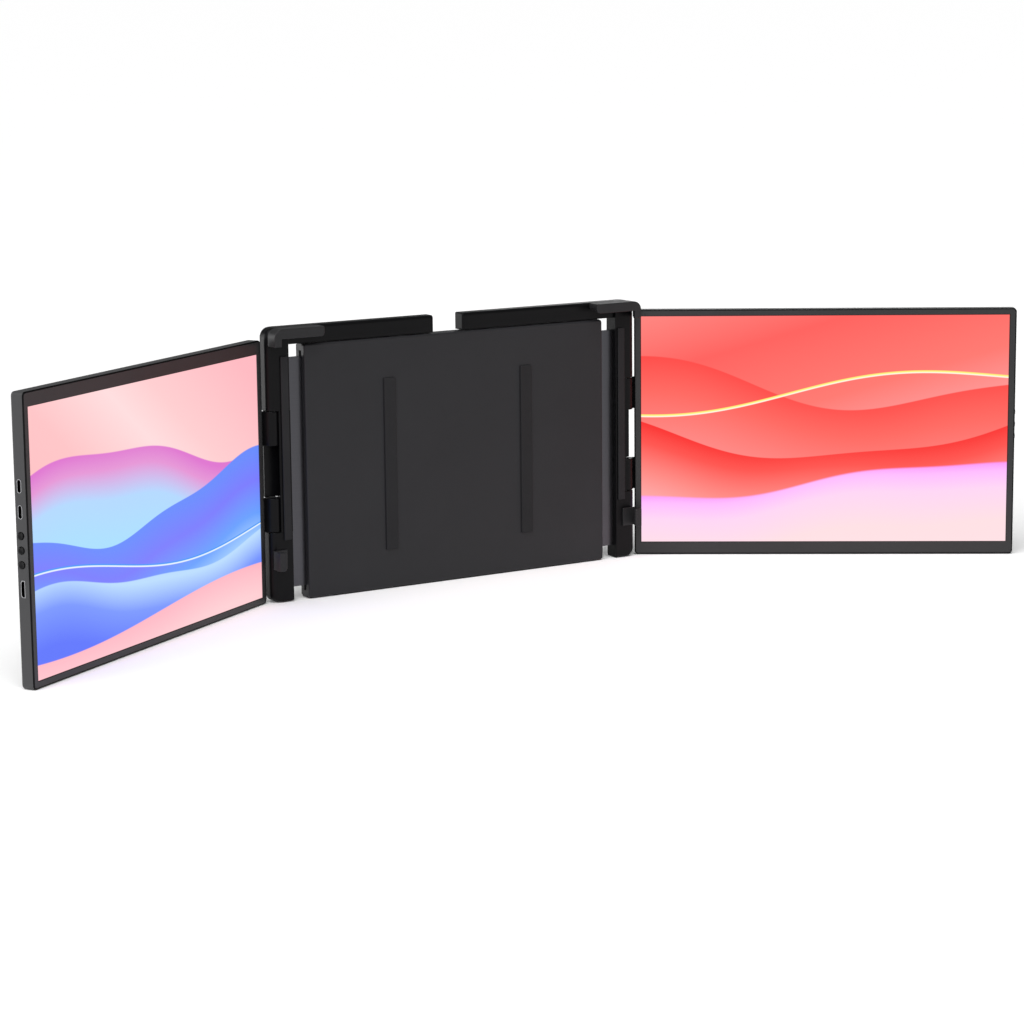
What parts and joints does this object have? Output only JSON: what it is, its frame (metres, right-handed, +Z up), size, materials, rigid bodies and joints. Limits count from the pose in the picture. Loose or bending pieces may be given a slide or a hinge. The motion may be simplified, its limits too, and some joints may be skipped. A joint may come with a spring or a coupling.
{
  "type": "laptop screen extender",
  "caption": "Telescoping bracket that grips a laptop's lid by its top corners and sides, with a hinged display on each side and a fold-out kickstand behind.",
  "frame": {"origin": "middle of the flat underside of the base strip, below the centre unit, in the plane of the display hinges' axes", "axes": "+X to the viewer's right across the bracket, +Y from the viewer to the back, +Z up"},
  "size_m": [0.8338, 0.1783, 0.2032],
  "materials": {
    "housing": "satin",
    "bar_plastic": "satin",
    "clip_plastic": "satin",
    "shell_plastic": "satin",
    "bezel_plastic": "satin",
    "button_plastic": "satin",
    "rubber": "matte",
    "slippery_plastic": "satin",
    "plate_aluminium": "brushed",
    "pin_steel": "satin",
    "dark_steel": "satin",
    "screw_steel": "satin",
    "bush_brass": "satin",
    "socket_steel": "polished",
    "board": "matte",
    "screen": "lit picture behind clear glass",
    "backlight": "satin",
    "washer": "satin"
  },
  "bodies": {
    "centre_unit": {"centre_front_shell": "housing", "centre_back_cover": "housing", "lid_pads": "rubber", "base_strip": "rubber", "slide_liners": "slippery_plastic", "gear_axle": "pin_steel", "cover_screws": "screw_steel", "kickstand_pin": "pin_steel", "kickstand_washers": "washer"},
    "sync_gear": {"sync_gear": "slippery_plastic"},
    "kickstand": {"kickstand_leg": "housing", "kickstand_foot": "rubber"},
    "left_bracket": {"left_bracket_frame": "bar_plastic", "left_slide_plate": "plate_aluminium", "left_sync_rack": "slippery_plastic", "left_corner_clip": "clip_plastic", "left_side_hook": "clip_plastic", "left_bar_end_cap": "bar_plastic", "left_grip_pad": "rubber", "left_hinge_pins": "pin_steel", "left_bracket_screws": "screw_steel"},
    "left_panel": {"left_back_shell": "shell_plastic", "left_front_bezel": "bezel_plastic", "left_display_glass": "screen", "left_backlight": "backlight", "left_driver_board": "board", "left_usb_c_sockets": "socket_steel", "left_mini_hdmi_socket": "socket_steel", "left_tact_switches": "screw_steel", "left_hinge_leaf": "dark_steel", "left_hinge_bushes": "bush_brass", "left_panel_screws": "screw_steel"},
    "left_power_button": {"left_power_button": "button_plastic"},
    "left_plus_button": {"left_plus_button": "button_plastic"},
    "left_minus_button": {"left_minus_button": "button_plastic"},
    "right_bracket": {"right_bracket_frame": "bar_plastic", "right_slide_plate": "plate_aluminium", "right_sync_rack": "slippery_plastic", "right_corner_clip": "clip_plastic", "right_side_hook": "clip_plastic", "right_bar_end_cap": "bar_plastic", "right_grip_pad": "rubber", "right_hinge_pins": "pin_steel", "right_bracket_screws": "screw_steel"},
    "right_panel": {"right_back_shell": "shell_plastic", "right_front_bezel": "bezel_plastic", "right_display_glass": "screen", "right_backlight": "backlight", "right_driver_board": "board", "right_usb_c_sockets": "socket_steel", "right_mini_hdmi_socket": "socket_steel", "right_tact_switches": "screw_steel", "right_hinge_leaf": "dark_steel", "right_hinge_bushes": "bush_brass", "right_panel_screws": "screw_steel"},
    "right_power_button": {"right_power_button": "button_plastic"},
    "right_plus_button": {"right_plus_button": "button_plastic"},
    "right_minus_button": {"right_minus_button": "button_plastic"}
  },
  "joints": [
    {"name": "left_slide", "type": "slide", "parent": "centre_unit", "child": "left_bracket", "axis": [-1, 0, 0], "range_m": [-0.012, 0.025]},
    {"name": "right_slide", "type": "slide", "parent": "centre_unit", "child": "right_bracket", "axis": [1, 0, 0], "range_m": [-0.012, 0.025]},
    {"name": "gear_spin", "type": "hinge", "parent": "centre_unit", "child": "sync_gear", "pos_m": [0, 0, 0.162], "axis": [0, -1, 0], "range_deg": [-90, 185]},
    {"name": "left_panel_hinge", "type": "hinge", "parent": "left_bracket", "child": "left_panel", "pos_m": [-0.1565, 0, 0.0975], "axis": [0, 0, 1], "range_deg": [-120, 42]},
    {"name": "right_panel_hinge", "type": "hinge", "parent": "right_bracket", "child": "right_panel", "pos_m": [0.1565, 0, 0.0975], "axis": [0, 0, -1], "range_deg": [-123, 39]},
    {"name": "kickstand_hinge", "type": "hinge", "parent": "centre_unit", "child": "kickstand", "pos_m": [0, 0.0043, 0.141], "axis": [1, 0, 0], "range_deg": [0, 65]},
    {"name": "left_power_press", "type": "slide", "parent": "left_panel", "child": "left_power_button", "axis": [0.8471, 0.5314, 0], "range_m": [0, 0.0005], "stiffness_N_per_m": 800, "springref_m": -0.0005},
    {"name": "left_plus_press", "type": "slide", "parent": "left_panel", "child": "left_plus_button", "axis": [0.8471, 0.5314, 0], "range_m": [0, 0.0005], "stiffness_N_per_m": 800, "springref_m": -0.0005},
    {"name": "left_minus_press", "type": "slide", "parent": "left_panel", "child": "left_minus_button", "axis": [0.8471, 0.5314, 0], "range_m": [0, 0.0005], "stiffness_N_per_m": 800, "springref_m": -0.0005},
    {"name": "right_power_press", "type": "slide", "parent": "right_panel", "child": "right_power_button", "axis": [-0.8202, 0.5721, 0], "range_m": [0, 0.0005], "stiffness_N_per_m": 800, "springref_m": -0.0005},
    {"name": "right_plus_press", "type": "slide", "parent": "right_panel", "child": "right_plus_button", "axis": [-0.8202, 0.5721, 0], "range_m": [0, 0.0005], "stiffness_N_per_m": 800, "springref_m": -0.0005},
    {"name": "right_minus_press", "type": "slide", "parent": "right_panel", "child": "right_minus_button", "axis": [-0.8202, 0.5721, 0], "range_m": [0, 0.0005], "stiffness_N_per_m": 800, "springref_m": -0.0005}
  ],
  "couplings": [
    {"joint": "right_slide", "follows": "left_slide", "ratio": 1},
    {"joint": "gear_spin", "follows": "left_slide", "rad_per_m": 125}
  ]
}
